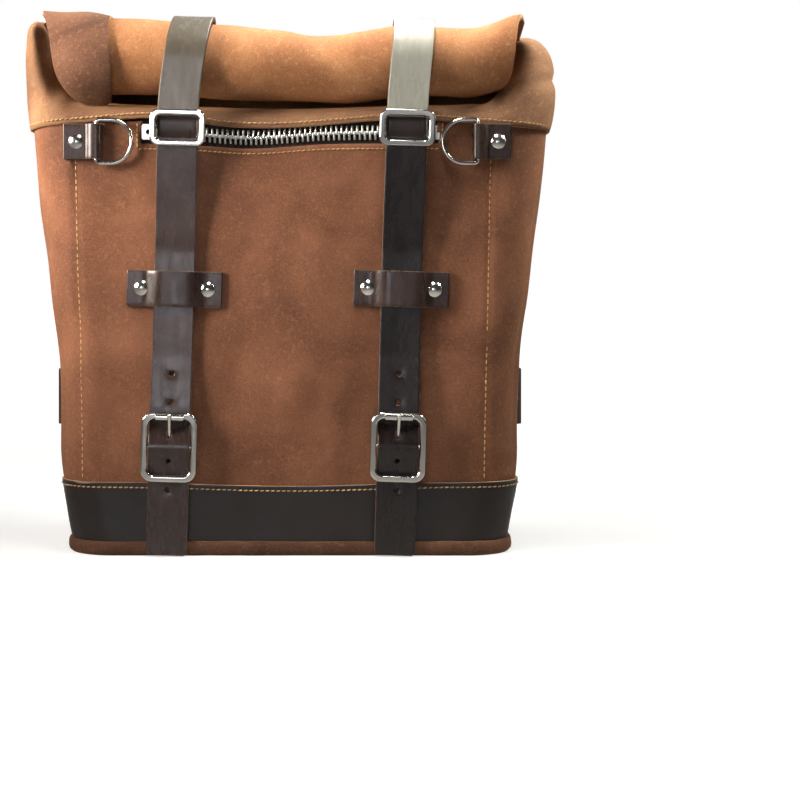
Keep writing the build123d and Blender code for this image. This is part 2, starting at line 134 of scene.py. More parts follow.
def oiledSuede(name, dark, middle, light, worn, wornAmount):
    # oiled suede, buffed on the flesh side: a matt, cloudy brown with a fine nap that catches light at its edges
    material, tree, where = startMaterial(name)
    nap = noiseAt(tree, where, suedeLooks["napMm"], 4, 0.7)
    cloud = noiseAt(tree, where, suedeLooks["cloudMm"], 5, 0.6, 0.6)
    blotch = noiseAt(tree, where, 14, 4, 0.65)
    pores = noiseAt(tree, where, suedeLooks["poreMm"], 2, 0.6)
    base = ramp(tree, cloud, [(0.28, dark), (0.5, middle), (0.74, light)])
    blotches = ramp(tree, blotch, [(0.3, 0.4), (0.72, 0.6)])
    base = mixColours(tree, "OVERLAY", 0.3, base, blotches)
    grain = ramp(tree, nap, [(0.3, 0.2), (0.52, 0.5), (0.74, 0.84)])
    base = mixColours(tree, "OVERLAY", 0.5, base, grain)
    specks = ramp(tree, pores, [(0.56, 0.0), (0.72, 1.0)])
    speckled = mixColours(tree, "MIX", specks, base, worn)
    base = mixColours(tree, "MIX", wornAmount, base, speckled)
    normal = bumps(tree, [(blotch, 0.25, 1.6), (pores, 0.25, 0.4), (nap, 0.5, 0.25)])
    finishMaterial(tree, {"Roughness": 0.88, "IOR": 1.45, "Specular IOR Level": 0.25, "Sheen Weight": 0.22,
                          "Sheen Roughness": 0.45, "Sheen Tint": toLinear("#d6a271")},
                   {"Base Color": base, "Normal": normal})
    return material


def smoothLeather(name, dark, light, roughness=0.42, grainMm=1.1, paintedSheen=None, paintedSheenFrom=276.0):
    # vegetable-tanned leather, rolled smooth and waxed: dark, a soft gloss and fine pores; a pale colour, if given,
    # is mixed in by streaks above the given height: a painted sheen standing for glare on the strap over the roll
    material, tree, where = startMaterial(name)
    cells = addNode(tree, "TexVoronoi", {"Scale": 1000 / grainMm, "feature": "DISTANCE_TO_EDGE"},
                    {"Vector": where}).outputs["Distance"]
    creases = ramp(tree, cells, [(0.0, 0.0), (0.12, 1.0)])
    wear = noiseAt(tree, where, 38, 5, 0.62, 0.4)
    scuffs = noiseAt(tree, where, 6, 4, 0.7, 0.0, (1, 1, 0.25))
    base = ramp(tree, wear, [(0.3, dark), (0.72, light)])
    dulled = ramp(tree, scuffs, [(0.35, 0.4), (0.7, 0.6)])
    base = mixColours(tree, "OVERLAY", 0.35, base, dulled)
    # painted sheen: the pale colour rises with height over the roll, where light glares on the strap
    if paintedSheen:
        height = addNode(tree, "SeparateXYZ", {}, {0: where}).outputs[2]
        share = addNode(tree, "MapRange", {"From Min": (paintedSheenFrom - 3) * mm, "From Max": (paintedSheenFrom + 62) * mm},
                        {"Value": height}).outputs[0]
        sheenByHeight = ramp(tree, share, [(0.0, 0.0), (0.1, 0.72), (1.0, 1.0)])
        streaks = ramp(tree, noiseAt(tree, where, 9, 4, 0.6, 0.3, (1, 1, 0.3)), [(0.3, 0.75), (0.7, 1.0)])
        amount = mixColours(tree, "MULTIPLY", 1.0, sheenByHeight, streaks)
        base = mixColours(tree, "MIX", amount, base, paintedSheen)
    gloss = ramp(tree, scuffs, [(0.3, roughness - 0.07), (0.75, roughness + 0.12)])
    normal = bumps(tree, [(wear, 0.3, 1.5), (scuffs, 0.1, 0.14), (creases, 0.1, 0.08)])
    finishMaterial(tree, {"IOR": 1.5, "Specular IOR Level": 0.42},
                   {"Base Color": base, "Roughness": gloss, "Normal": normal})
    return material


def platedMetal(name, colour, roughness, scratchMm=0.5):
    # cast metal, polished and nickel plated: bright, with faint polishing marks and handling haze
    material, tree, where = startMaterial(name)
    haze = noiseAt(tree, where, 7, 4, 0.6)
    marks = noiseAt(tree, where, scratchMm, 3, 0.6, 0.0, (1, 1, 0.15))
    base = mixColours(tree, "MULTIPLY", 0.35, colour, ramp(tree, haze, [(0.3, 0.78), (0.7, 1.0)]))
    gloss = ramp(tree, haze, [(0.3, roughness * 0.75), (0.75, roughness * 1.6)])
    normal = bumps(tree, [(haze, 0.12, 0.3), (marks, 0.08, 0.05)])
    finishMaterial(tree, {"Metallic": 1.0}, {"Base Color": base, "Roughness": gloss, "Normal": normal})
    return material


def wovenCloth(name, dark, light, threadMm=0.7):
    # cotton and polyester tape, woven: two sets of ribs crossing, matt
    material, tree, where = startMaterial(name)
    warp, weft = (addNode(tree, "TexWave", {"Scale": 320 / threadMm / 6.28, "bands_direction": direction},
                          {"Vector": where}).outputs["Fac"] for direction in ("X", "Z"))
    weave = addNode(tree, "Math", {"operation": "MULTIPLY"}, {0: warp, 1: weft}).outputs[0]
    dust = noiseAt(tree, where, 9, 4, 0.6)
    base = mixColours(tree, "OVERLAY", 0.4, ramp(tree, weave, [(0.1, dark), (0.8, light)]),
                      ramp(tree, dust, [(0.3, 0.4), (0.7, 0.6)]))
    finishMaterial(tree, {"Roughness": 0.9, "IOR": 1.45},
                   {"Base Color": base, "Normal": bumps(tree, [(weave, 0.4, 0.15)])})
    return material


def waxedThread(name, dark, light):
    # twisted polyester thread, waxed: short diagonal strands, a dull shine
    material, tree, where = startMaterial(name)
    turned = addNode(tree, "Mapping", {"Rotation": (0.6, 0.8, 0.5)}, {"Vector": where}).outputs[0]
    strands = addNode(tree, "TexWave", {"Scale": 160.0, "Distortion": 1.0}, {"Vector": turned}).outputs["Fac"]
    age = noiseAt(tree, where, 12, 3)
    base = mixColours(tree, "MULTIPLY", 0.4, ramp(tree, age, [(0.3, dark), (0.7, light)]),
                      ramp(tree, strands, [(0.2, 0.55), (0.7, 1.0)]))
    finishMaterial(tree, {"Roughness": 0.6, "IOR": 1.5},
                   {"Base Color": base, "Normal": bumps(tree, [(strands, 0.4, 0.1)])})
    return material


def cutEdge(name, dark, light):
    # the raw edge of a hide: paler than its face, with loose fibres
    material, tree, where = startMaterial(name)
    fibres = noiseAt(tree, where, 0.9, 4, 0.7)
    dirt = noiseAt(tree, where, 16, 3)
    base = mixColours(tree, "OVERLAY", 0.5, ramp(tree, fibres, [(0.3, dark), (0.7, light)]),
                      ramp(tree, dirt, [(0.3, 0.4), (0.7, 0.62)]))
    finishMaterial(tree, {"Roughness": 0.85, "IOR": 1.45},
                   {"Base Color": base, "Normal": bumps(tree, [(fibres, 0.5, 0.2)])})
    return material


looks = {
    "wallSuede": oiledSuede("oiledSuedeWalls", "#5d3c2c", "#704934", "#825740", "#a67755", 0.22),
    # the roll's lighter copy is partly the suede lightened where it is pulled tight and partly painted light from the
    # lamp above
    "rollSuede": oiledSuede("oiledSuedePulledAndPaintedLit", "#865839", "#9d6b46", "#b48159", "#cba078", 0.3),
    # the ear's darker copy is painted shade
    "earSuede": oiledSuede("oiledSuedePaintedShadeEar", "#4b3226", "#664635", "#7d5944", "#a07a5b", 0.35),
    "collarSuede": oiledSuede("oiledSuedeCollar", "#654735", "#7d5b42", "#947053", "#ad8866", 0.28),
    # the sole's darker copy is painted shade near the floor
    "soleSuede": oiledSuede("oiledSuedeSolePaintedShade", "#432c21", "#5a3d2e", "#73503c", "#8b6549", 0.25),
    "bandLeather": smoothLeather("pullUpLeather", "#130d0b", "#221915", 0.36, 1.6),
    # the two straps are lit and shaded copies: the left one's lighter tones are painted sheen from the lamp on the
    # left, the right one's darker tones painted shade; their pale colours are painted glare on top, grey on the left,
    # near white on the right
    "strapLeatherLeft": smoothLeather("bridleLeatherLeftPaintedSheen", "#261b19", "#3d302c", 0.24, 1.1, "#5a554a"),
    "strapLeatherRight": smoothLeather("bridleLeatherRightPaintedShadeAndGlare", "#120b0a", "#1f1714", 0.26, 1.1, "#aeada0"),
    "foldLeather": smoothLeather("bridleLeatherFold", "#1a1110", "#2c201c", 0.3),
    "keeperLeather": smoothLeather("bridleLeatherKeeper", "#241917", "#3c2d28", 0.26),
    "loopLeather": smoothLeather("bridleLeatherLoop", "#1f1411", "#37261f", 0.42),
    "strapEdge": cutEdge("burnishedEdge", "#2e211b", "#6d5847"),
    "nickel": platedMetal("nickelPlate", "#d2cfc8", 0.13),
    "rivetNickel": platedMetal("nickelCap", "#dcd9d2", 0.16),
    "zipMetal": platedMetal("brightAluminium", "#e3e3e1", 0.26, 0.3),
    "tapeCloth": wovenCloth("wovenZipTape", "#17110f", "#2b221e"),
    "liningCloth": wovenCloth("wovenLining", "#3a3029", "#55483d", 0.9),
    "thread": waxedThread("waxedThread", "#a37b48", "#d0a76c"),
    "paleEdge": cutEdge("cutHideEdge", "#8f6742", "#cfa779"),
    "board": wovenCloth("fibreBoard", "#3d352d", "#5a4f43", 1.4),
}
print("materials made:", len(looks))


# meshes from arrays

def giveMaterials(thing, *materials):
    # the mesh's material slots, filled in the order given
    thing.data.materials.clear()
    for material in materials:
        thing.data.materials.append(material)


def makeMesh(name, points, faces, *materials, closed=False):
    # points in millimetres; a closed form has its faces turned outward
    mesh = bpy.data.meshes.new(name)
    faces = faces if isinstance(faces, list) else np.asarray(faces).tolist()
    mesh.from_pydata((np.asarray(points) * mm).tolist(), [], faces)
    if closed:
        form = bmesh.new()
        form.from_mesh(mesh)
        bmesh.ops.recalc_face_normals(form, faces=form.faces)
        form.to_mesh(mesh)
        form.free()
    mesh.update()
    mesh.polygons.foreach_set("use_smooth", np.ones(len(mesh.polygons), bool))
    thing = bpy.data.objects.new(name, mesh)
    bpy.context.scene.collection.objects.link(thing)
    giveMaterials(thing, *materials)
    return thing


def gridFaces(rows, columns, wrap=False, turned=False):
    # quad (i, j), (i, j + 1), (i + 1, j + 1), (i + 1, j), where the last column may join the first
    index = np.arange(rows * columns).reshape(rows, columns)
    if wrap:
        index = np.hstack([index, index[:, :1]])
    quads = np.stack([index[:-1, :-1], index[:-1, 1:], index[1:, 1:], index[1:, :-1]], axis=-1).reshape(-1, 4)
    return quads[:, ::-1] if turned else quads


def stacked(*parts):
    # arrays that broadcast together, as the last axis of one array
    return np.stack(np.broadcast_arrays(*parts), -1)


def thicken(thing, thickness, rimSlot=None, offset=-1.0):
    # an open sheet given its thickness, on its inner side at offset -1; its rim takes the next material
    solidify = thing.modifiers.new("thickness", "SOLIDIFY")
    solidify.thickness = thickness * mm
    solidify.offset = offset
    solidify.use_even_offset = True
    if rimSlot is not None:
        solidify.material_offset_rim = rimSlot
    return thing


def ripple(u, v, seed, waves=((95, 1.0), (52, 0.55), (27, 0.25))):
    # sum of sines, each with its wavelength in mm and its own direction and phase
    chance = np.random.default_rng(seed)
    total = 0
    for length, weight in waves:
        for turn, phase in chance.uniform(0, 2 * np.pi, (3, 2)):
            total = total + weight * np.sin(2 * np.pi * (u * np.cos(turn) + v * np.sin(turn)) / length + phase)
    return total / 3


def smoothStep(value, low, high):
    # 3t2 - 2t3 between low and high
    t = np.clip((value - low) / (high - low), 0, 1)
    return t * t * (3 - 2 * t)


def sampled(table, at):
    # smooth curve through a table of (place, values): cubic Hermite with slopes from the neighbours
    table = np.array(table, float)
    place, values = table[:, 0], table[:, 1:]
    slope = np.gradient(values, place, axis=0)
    at = np.clip(np.asarray(at, float), place[0], place[-1])
    k = np.clip(np.searchsorted(place, at) - 1, 0, len(place) - 2)
    width = (place[k + 1] - place[k])[..., None]
    t = ((at - place[k])[..., None]) / width
    return ((2 * t**3 - 3 * t**2 + 1) * values[k] + (t**3 - 2 * t**2 + t) * width * slope[k]
            + (3 * t**2 - 2 * t**3) * values[k + 1] + (t**3 - t**2) * width * slope[k + 1])


def smoothRun(corners, blur=2.5, step=0.8):
    # a line through the corners, one point each step, its corners rounded by a Gaussian blur along the run
    corners = np.asarray(corners, float)
    run = np.concatenate([[0], np.cumsum(np.linalg.norm(np.diff(corners, axis=0), axis=1))])
    at = np.linspace(0, run[-1], int(run[-1] / step) + 1)
    line = np.stack([np.interp(at, run, corners[:, k]) for k in range(corners.shape[1])], 1)
    reach = int(3 * blur / step) + 1
    weights = np.exp(-0.5 * (np.arange(-reach, reach + 1) * step / blur) ** 2)
    padded = np.vstack([2 * line[0] - line[reach:0:-1], line, 2 * line[-1] - line[-2:-reach - 2:-1]])
    return np.stack([np.convolve(padded[:, k], weights / weights.sum(), "valid") for k in range(corners.shape[1])], 1)


def arcPoints(middle, radius, start, end, count=24):
    # middle + radius * (cos, sin) of the angles in degrees
    turn = np.radians(np.linspace(start, end, count))
    return np.asarray(middle) + radius * np.stack([np.cos(turn), np.sin(turn)], 1)


def leatherEdge(width, thickness, soften=0.5):
    # outline of a cut strip: a rectangle whose corners are quarter circles of radius soften, as (across, through)
    corner = np.radians(np.linspace(0, 90, 4))
    arc = soften * np.stack([np.cos(corner), np.sin(corner)], 1) + [width / 2 - soften, thickness / 2 - soften]
    flat = np.stack([np.linspace(0.8, -0.8, 9) * (width / 2 - soften), np.full(9, thickness / 2)], 1)
    half = np.vstack([arc, flat, (arc * [-1, 1])[::-1]])
    return np.vstack([half, -half])


def carried(name, profile, path, side, face, edge):
    # a closed profile (across, through) carried along a path: path + across * side + through * (side x tangent)
    tangent = np.gradient(path, axis=0)
    tangent /= np.linalg.norm(tangent, axis=1, keepdims=True)
    side = np.broadcast_to(np.asarray(side, float), path.shape)
    normal = np.cross(side, tangent)
    points = path[:, None] + profile[None, :, :1] * side[:, None] + profile[None, :, 1:] * normal[:, None]
    rows, columns = points.shape[:2]
    ring = np.arange(columns)
    faces = gridFaces(rows, columns, wrap=True)
    ends = [np.stack([ring + start, np.roll(ring, -1) + start, np.full(columns, rows * columns + n)], 1)
            for n, start in enumerate((0, (rows - 1) * columns))]
    points = np.vstack([points.reshape(-1, 3), path[:1], path[-1:]])
    thing = makeMesh(name, points, faces.tolist() + np.vstack(ends).tolist(), face, edge, closed=True)
    middle = (profile + np.roll(profile, -1, axis=0)) / 2
    isEdge = np.abs(middle[:, 0]) > np.abs(profile[:, 0]).max() - 0.45
    slots = np.concatenate([np.tile(isEdge, rows - 1), np.ones(2 * columns)]).astype(int)
    thing.data.polygons.foreach_set("material_index", slots)
    return thing


def threadRow(name, path, outward, pitch=3.1, length=2.7, thick=0.42, slant=0.22):
    # stitches along a path, one each pitch: an ellipsoid a, b, c placed at point + a*tangent + b*across + c*outward
    path, outward = np.asarray(path, float), np.broadcast_to(np.asarray(outward, float), np.shape(path))
    steps = np.linalg.norm(np.diff(path, axis=0), axis=1)
    run = np.concatenate([[0], np.cumsum(steps)])
    at = np.arange(pitch / 2, run[-1], pitch)
    along = lambda line, place: np.stack([np.interp(place, run, line[:, k]) for k in range(3)], 1)
    centre, up = along(path, at), along(outward, at)
    up /= np.linalg.norm(up, axis=1, keepdims=True)
    ahead = along(path, at + 0.5) - along(path, at - 0.5)
    ahead /= np.linalg.norm(ahead, axis=1, keepdims=True)
    across = np.cross(up, ahead)
    ahead = ahead * np.cos(slant) + across * np.sin(slant)
    across = np.cross(up, ahead)
    turn = np.linspace(0, 2 * np.pi, 7)[:-1]
    rows = np.array([-1.0, -0.75, 0.0, 0.75, 1.0])
    wide = np.array([0.05, 0.8, 1.0, 0.8, 0.05])
    local = np.stack([np.repeat(rows, 6) * length / 2, np.outer(wide, np.cos(turn)).ravel() * thick,
                      np.outer(wide, np.sin(turn)).ravel() * thick * 0.8], 1)
    points = (centre[:, None] + local[None, :, :1] * ahead[:, None] + local[None, :, 1:2] * across[:, None]
              + local[None, :, 2:] * up[:, None])
    faces = gridFaces(5, 6, wrap=True)
    ends = np.array([[0, 5, 4, 3], [3, 2, 1, 0], [24, 25, 26, 27], [27, 28, 29, 24]])
    faces = np.vstack([faces, ends])
    allFaces = (faces[None] + (np.arange(len(centre)) * 30)[:, None, None]).reshape(-1, 4)
    thing = makeMesh(name, points.reshape(-1, 3), allFaces, looks["thread"])
    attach(thing, "bag")
    return thing


# the walls

walls = {
    "halfWidths": ((-20, 131.0), (3, 136.5), (50, 146.0), (110, 145.5), (160, 151.0), (210, 158.0),
                   (235, 161.0), (272, 165.0), (330, 169.0)),
    # metalwork and loops keep the wall flat here: middle x, z, reach x, z, and which side faces them
    "heldAt": ((-72, 167, 42, 24, -1), (70, 167, 42, 24, -1), (-131, 259, 26, 22, -1), (128, 259, 26, 22, -1),
               (-71, 30, 24, 60, -1), (68, 30, 24, 60, -1), (-118, 210, 34, 40, 1), (118, 210, 34, 40, 1),
               (0, 80, 44, 44, 1), (-70, 255, 24, 34, 1), (72, 255, 24, 34, 1)),
    "frontY": -72.6, "backY": 67.4, "corner": 26.0,
    "low": 3.0, "high": 272.0, "thick": 2.2,
    "slotHalf": 93.0, "slotLow": 257.9,      # the opening for the zip
    "bulge": 3.0,             # of the front between the straps
    "slack": 1.2,             # of the ripples
    "seamLeft": ((3, -130.0), (250, -134.5)),
    "seamRight": ((3, 121.0), (250, 126.0)),
}
outlineKnots = np.array([0, .149, .198, .303, .352, .648, .697, .802, .851, 1.0])


def halfWidthAt(z):
    # half the walls' width at a height: straight lines between the rows of the table, averaged over 28 mm
    heights, sizes = np.array(walls["halfWidths"]).T
    return sum(np.interp(z + shift, heights, sizes) for shift in (-14, -7, 0, 7, 14)) / 5


def outline(s, z, lift=0.0):
    # rounded rectangle: (W - r) and (D - r) times the place along the straights, plus (r + lift) along the normal
    r, depth = walls["corner"], (walls["backY"] - walls["frontY"]) / 2
    s = np.mod(s, 1.0)
    angle = np.radians(np.interp(s, outlineKnots, [-90, -90, 0, 0, 90, 90, 180, 180, 270, 270]))
    alongX = np.interp(s, outlineKnots, [0, 1, 1, 1, 1, -1, -1, -1, -1, 0])
    alongY = np.interp(s, outlineKnots, [-1, -1, -1, 1, 1, 1, 1, -1, -1, -1])
    x = alongX * (halfWidthAt(z) - r) + (r + lift) * np.cos(angle)
    y = (walls["backY"] + walls["frontY"]) / 2 + alongY * (depth - r) + (r + lift) * np.sin(angle)
    return stacked(x, y, z), stacked(np.cos(angle), np.sin(angle), 0 * angle)


def heldFlat(x, y, z):
    # 1 where metalwork or a loop is fixed to the wall, 0 away from it
    held = 0
    for cx, cz, wx, wz, side in walls["heldAt"]:
        here = np.exp(-(((x - cx) / wx) ** 2 + ((z - cz) / wz) ** 2) ** 2) * (y * side > 40)
        held = np.maximum(held, here)
    for side in (-1, 1):
        here = np.exp(-(((y - 4) / 36) ** 2 + ((z - 95) / 30) ** 2) ** 2) * (x * side > 120)
        held = np.maximum(held, here)
    return held


def around(s):
    # millimetres along the outline from the middle of the front, negative to the left
    return (np.mod(s + 0.5, 1.0) - 0.5) * 840


def rearFade(s):
    # 0 on the middle line of the back, where the two ways round meet, and 1 away from it
    return 1 - np.exp(-((420 - np.abs(around(s))) / 25) ** 2)


def wallLift(s, z):
    # how far the leather stands out from its outline: ripples, a bulge between the straps, and seam grooves
    place, normal = outline(s, z)
    x, y = place[..., 0], place[..., 1]
    free = 1 - heldFlat(x, y, z)
    rise = np.sin(np.pi * np.clip((z - walls["low"]) / (walls["high"] - walls["low"]), 0, 1))
    lift = walls["slack"] * (ripple(around(s), z, 4) * rearFade(s) - 0.4) * free * (0.25 + 0.75 * rise)
    isFront = y < -55
    lift = lift + isFront * walls["bulge"] * rise * np.exp(-(x / 38) ** 2) * free
    lift = lift + (~isFront) * 1.6 * rise * free * (np.abs(x) > 120)
    for seam in (walls["seamLeft"], walls["seamRight"]):
        (z0, x0), (z1, x1) = seam
        away = x - (x0 + (x1 - x0) * (z - z0) / (z1 - z0))
        ridge = 0.55 * np.exp(-((away * np.sign(x0) - 4.0) / 2.6) ** 2)
        lift = lift + isFront * (ridge - 0.8 * np.exp(-(away / 1.3) ** 2))
    return lift


def zipSag(x):
    # how far the loaded zip hangs in its middle: a bell curve left of the centre
    return 3.2 * np.exp(-((x + 24) / 34) ** 2)


# columns of the walls: from one knot of the outline to the next, closer round the corners
columnCounts = (76, 16, 34, 14, 90, 14, 34, 16, 76)
sColumns = np.unique(np.concatenate([np.linspace(*ends, count) for *ends, count in
                                     zip(outlineKnots[:-1], outlineKnots[1:], columnCounts)]).round(6))[:-1]
zRows = np.unique(np.concatenate([np.linspace(walls["low"], 258, 108), np.linspace(258, walls["high"], 7)]).round(6))
sGrid, zGrid = np.meshgrid(sColumns, zRows)
wallPoints, wallNormals = outline(sGrid, zGrid)
wallPoints = wallPoints + wallNormals * wallLift(sGrid, zGrid)[..., None]
isMouth = (wallPoints[..., 1] < -60) & (np.abs(wallPoints[..., 0]) < 98)
wallPoints[..., 2] -= isMouth * zipSag(wallPoints[..., 0]) * smoothStep(wallPoints[..., 2], 215, 258)
faces = gridFaces(len(zRows), len(sColumns), wrap=True)
middle = wallPoints.reshape(-1, 3)[faces].mean(1)
isFront = middle[:, 1] < -60
inSlot = isFront & (np.abs(middle[:, 0]) < walls["slotHalf"]) & (middle[:, 2] > walls["slotLow"] - zipSag(middle[:, 0]))
wallBag = makeMesh("walls", wallPoints.reshape(-1, 3), faces[~inSlot], looks["wallSuede"], looks["paleEdge"])
thicken(wallBag, walls["thick"], 1)
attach(wallBag, "bag")
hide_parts("front_panel", "back_panel", "side_panel_left", "side_panel_right")
print("walls made")


def onWall(s, z, lift):
    # a point on the wall, this far out from its leather
    place, normal = outline(s, z)
    return place + normal * (wallLift(s, z) + lift)[..., None], normal


def wallAtX(x, z):
    # the s of a point of the front wall: straight part by ratio, corner by arc sine
    straight = halfWidthAt(z) - walls["corner"]
    over = np.clip((np.abs(x) - straight) / walls["corner"], 0, 1)
    s = np.where(np.abs(x) <= straight, .149 * np.abs(x) / straight, .149 + .049 * np.arcsin(over) / (np.pi / 2))
    return np.where(x < 0, 1 - s, s)


for name, seam, top in (("seamThreadLeft", walls["seamLeft"], 249.0), ("seamThreadRight", walls["seamRight"], 249.0)):
    z = np.linspace(47.5, top, 150)
    (z0, x0), (z1, x1) = seam
    path, normal = onWall(wallAtX(x0 + (x1 - x0) * (z - z0) / (z1 - z0), z), z, 0.25)
    threadRow(name, path, normal, 4.2, 3.0, 0.42, 0.0)


# band round the foot, and the sole with its lip

base = {"bandLift": 2.0, "bandTop": 46.0, "bandDip": 2.6, "bandFoot": 6.0, "thick": 1.7}


def bandTopAt(x, y):
    # the band's upper edge, lower between the straps
    return base["bandTop"] - base["bandDip"] * np.exp(-(x / 70) ** 2) * (y < -40)


sFine = np.linspace(0, 1, 421)[:-1]
rows = np.linspace(0, 1, 30)
sGrid, tGrid = np.meshgrid(sFine, rows)
place, normal = outline(sGrid, 20.0 + 0 * sGrid)
topZ = bandTopAt(place[..., 0], place[..., 1])
zGrid = base["bandFoot"] + (topZ - base["bandFoot"]) * tGrid
place, normal = outline(sGrid, zGrid)
free = 1 - heldFlat(place[..., 0], place[..., 1], zGrid)
lift = base["bandLift"] + 0.5 * ripple(around(sGrid), zGrid, 9, ((60, 1.0), (31, 0.5))) * rearFade(sGrid) * free
band = makeMesh("footBand", (place + normal * lift[..., None]).reshape(-1, 3), gridFaces(30, 420, wrap=True),
                looks["bandLeather"], looks["paleEdge"])
thicken(band, base["thick"], 1)
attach(band, "bag")
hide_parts("base_band")

sLine = np.linspace(0.5, 1.5, 500)[:-1]
place, normal = outline(sLine, 40.0 + 0 * sLine)
z = bandTopAt(place[:, 0], place[:, 1]) - 3.0
place, normal = outline(sLine, z)
line = place + normal * (base["bandLift"] + 0.35)
threadRow("bandThread", np.vstack([line, line[:1]]), np.vstack([normal, normal[:1]]), 3.4, 2.6, 0.42, 0.12)

# rings of the sole from its middle, over the lip and in under the band: share of the outline, lift, height
soleRings = ((0.02, 0, 0.0), (0.5, 0, 0.0), (0.9, 0, 0.0), (1, 1.5, 0.0), (1, 3.6, 0.35), (1, 4.9, 1.6), (1, 5.4, 3.6),
             (1, 5.3, 6.0), (1, 4.9, 7.8), (1, 4.1, 8.9), (1, 3.0, 9.2), (1, 1.9, 8.7), (1, 1.0, 7.0))
rings = []
for share, out, height in soleRings:
    place, normal = outline(sFine, 5.0 + 0 * sFine)
    wave = 0.45 * ripple(around(sFine), 0 * sFine + height, 21, ((44, 1.0), (19, 0.5))) * rearFade(sFine)
    wave = wave * (height > 0)
    ring = place * [share, share, 0] + normal * (out + wave)[:, None] * (share == 1)
    ring[:, 1] += (1 - share) * -2.6
    ring[:, 2] = height + np.maximum(wave, -0.3) * (height > 1)
    rings.append(ring)
sole = makeMesh("sole", np.array(rings).reshape(-1, 3), gridFaces(len(rings), 420, wrap=True), looks["soleSuede"])
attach(sole, "bag")
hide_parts("base_sole")
print("foot made")


# collar and shoulders, one piece round the front and sides

collar = {
    "lift": 1.9, "thick": 1.9,
    # the stitched line's height over x along the front, and the crown that the leather rises to,
    # over the outline's place
    "hem": ((-170, 270.5), (-150, 272.5), (-130, 274.0), (-108, 276.0), (-90, 277.0), (-60, 274.5), (-45, 272.2),
            (-20, 270.6), (0, 271.0), (30, 273.2), (50, 275.0), (90, 275.4), (125, 272.8), (150, 270.8),
            (170, 269.6)),
    "crown": ((-.345, -148, 60, 298), (-.30, -152, 42, 309), (-.25, -155, 0, 325), (-.215, -158, -26, 335),
              (-.190, -160, -38, 340), (-.179, -159, -36, 336), (-.175, -156, -34, 328), (-.170, -153, -33, 317),
              (-.164, -149, -33, 305), (-.154, -141, -44, 293), (-.149, -137, -43, 289.5), (-.14, -130, -42, 287),
              (-.12, -113, -42, 286), (-.05, -47, -44, 283.5), (0, 0, -46, 282.5), (.03, 28, -46, 283),
              (.09, 85, -44, 285), (.12, 114, -42, 286), (.14, 130, -42, 289), (.149, 138, -42, 298),
              (.165, 143, -40, 312), (.18, 147, -36, 325), (.198, 149, -28, 331), (.25, 150, 5, 325),
              (.30, 150, 42, 309), (.345, 150, 60, 298)),
    "swell": (4.5, 8.5),      # how far the shoulders fill out, left and right
}


def hemAt(x):
    # the stitched line's height at x, read from its table
    return sampled(collar["hem"], x)[..., 0]


spans = ((-.345, -.198, 50), (-.198, -.149, 34), (-.149, .149, 150), (.149, .198, 28), (.198, .345, 50))
sSpan = np.unique(np.concatenate([np.linspace(*span) for span in spans]).round(6))
vSpan = np.linspace(0, 1.38, 40)
sGrid, vGrid = np.meshgrid(sSpan, vSpan)
foot, normal = outline(sGrid, 271.0 + 0 * sGrid)
footZ = hemAt(foot[..., 0]) - 3.0
foot = foot + normal * collar["lift"]
crown = sampled(collar["crown"], sGrid)
fullness = 1.0 + 0.8 * smoothStep(-sGrid, .15, .2)
turn = vGrid * np.pi / 2
inward = (1 - np.cos(turn)) ** fullness
rise = np.sin(turn)
points = foot + (crown - foot) * inward[..., None]
points[..., 2] = footZ + (crown[..., 2] - footZ) * rise
swell = collar["swell"][0] * smoothStep(-sGrid, .16, .2) + collar["swell"][1] * smoothStep(sGrid, .155, .2)
swell = swell * np.sin(np.pi * np.clip(vGrid / 1.15, 0, 1)) ** 0.8
points = points + normal * swell[..., None]
soft = 1.3 * ripple(sGrid * 840, vGrid * 60, 31, ((60, 1.0), (34, 0.6), (19, 0.3))) * smoothStep(vGrid, 0.08, 0.5)
points = points + normal * soft[..., None]
# the soft fold that runs across the right shoulder
fold = np.exp(-((points[..., 2] - 296 - (points[..., 0] - 150) * 0.25) / 3.5) ** 2)
fold = fold * (points[..., 0] > 125) * (points[..., 1] < 0)
points = points - normal * (1.8 * fold)[..., None]
collarBand = makeMesh("collar", points.reshape(-1, 3), gridFaces(len(vSpan), len(sSpan)),
                      looks["collarSuede"], looks["paleEdge"])
thicken(collarBand, collar["thick"], 1).modifiers["thickness"].use_even_offset = False
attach(collarBand, "bag")
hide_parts("collar_front", "shoulder_left", "shoulder_right")

sLine = np.linspace(-.34, .34, 500)
place, normal = outline(sLine, 271.0 + 0 * sLine)
path = place + normal * (collar["lift"] + 0.35)
path[:, 2] = hemAt(place[:, 0])
threadRow("collarThread", path, normal, 3.2, 2.8, 0.45, 0.2)
print("collar made")


# rolled mouth

roll = {
    "sheet": 3.4, "lap": 5.2, "turns": 1.75,
    "startAngle": 72.0,
    # over x: the roll's middle height and radius
    "body": ((-160, 312.6, 25.4), (-110, 312.4, 25.4), (-78, 312.0, 25.0), (-47, 309.8, 25.2), (0, 306.4, 23.6),
             (30, 305.0, 22.6), (56, 307.9, 23.9), (72, 310.6, 24.2), (95, 309.5, 23.5), (120, 310.3, 23.4),
             (130, 312.6, 23.7), (141, 316.0, 24.5), (152, 316.5, 25.2)),
    "middleY": -60.1,
    # over the angle round the roll: where the sheet ends on the right and on the left
    "rightEnd": ((60, 151), (90, 148), (120, 143.5), (180, 140), (225, 138), (270, 134), (330, 138), (420, 139),
                 (720, 136)),
    "leftEnd": ((60, -142), (180, -140), (225, -132), (262, -119), (300, -122), (420, -134), (720, -132)),
}


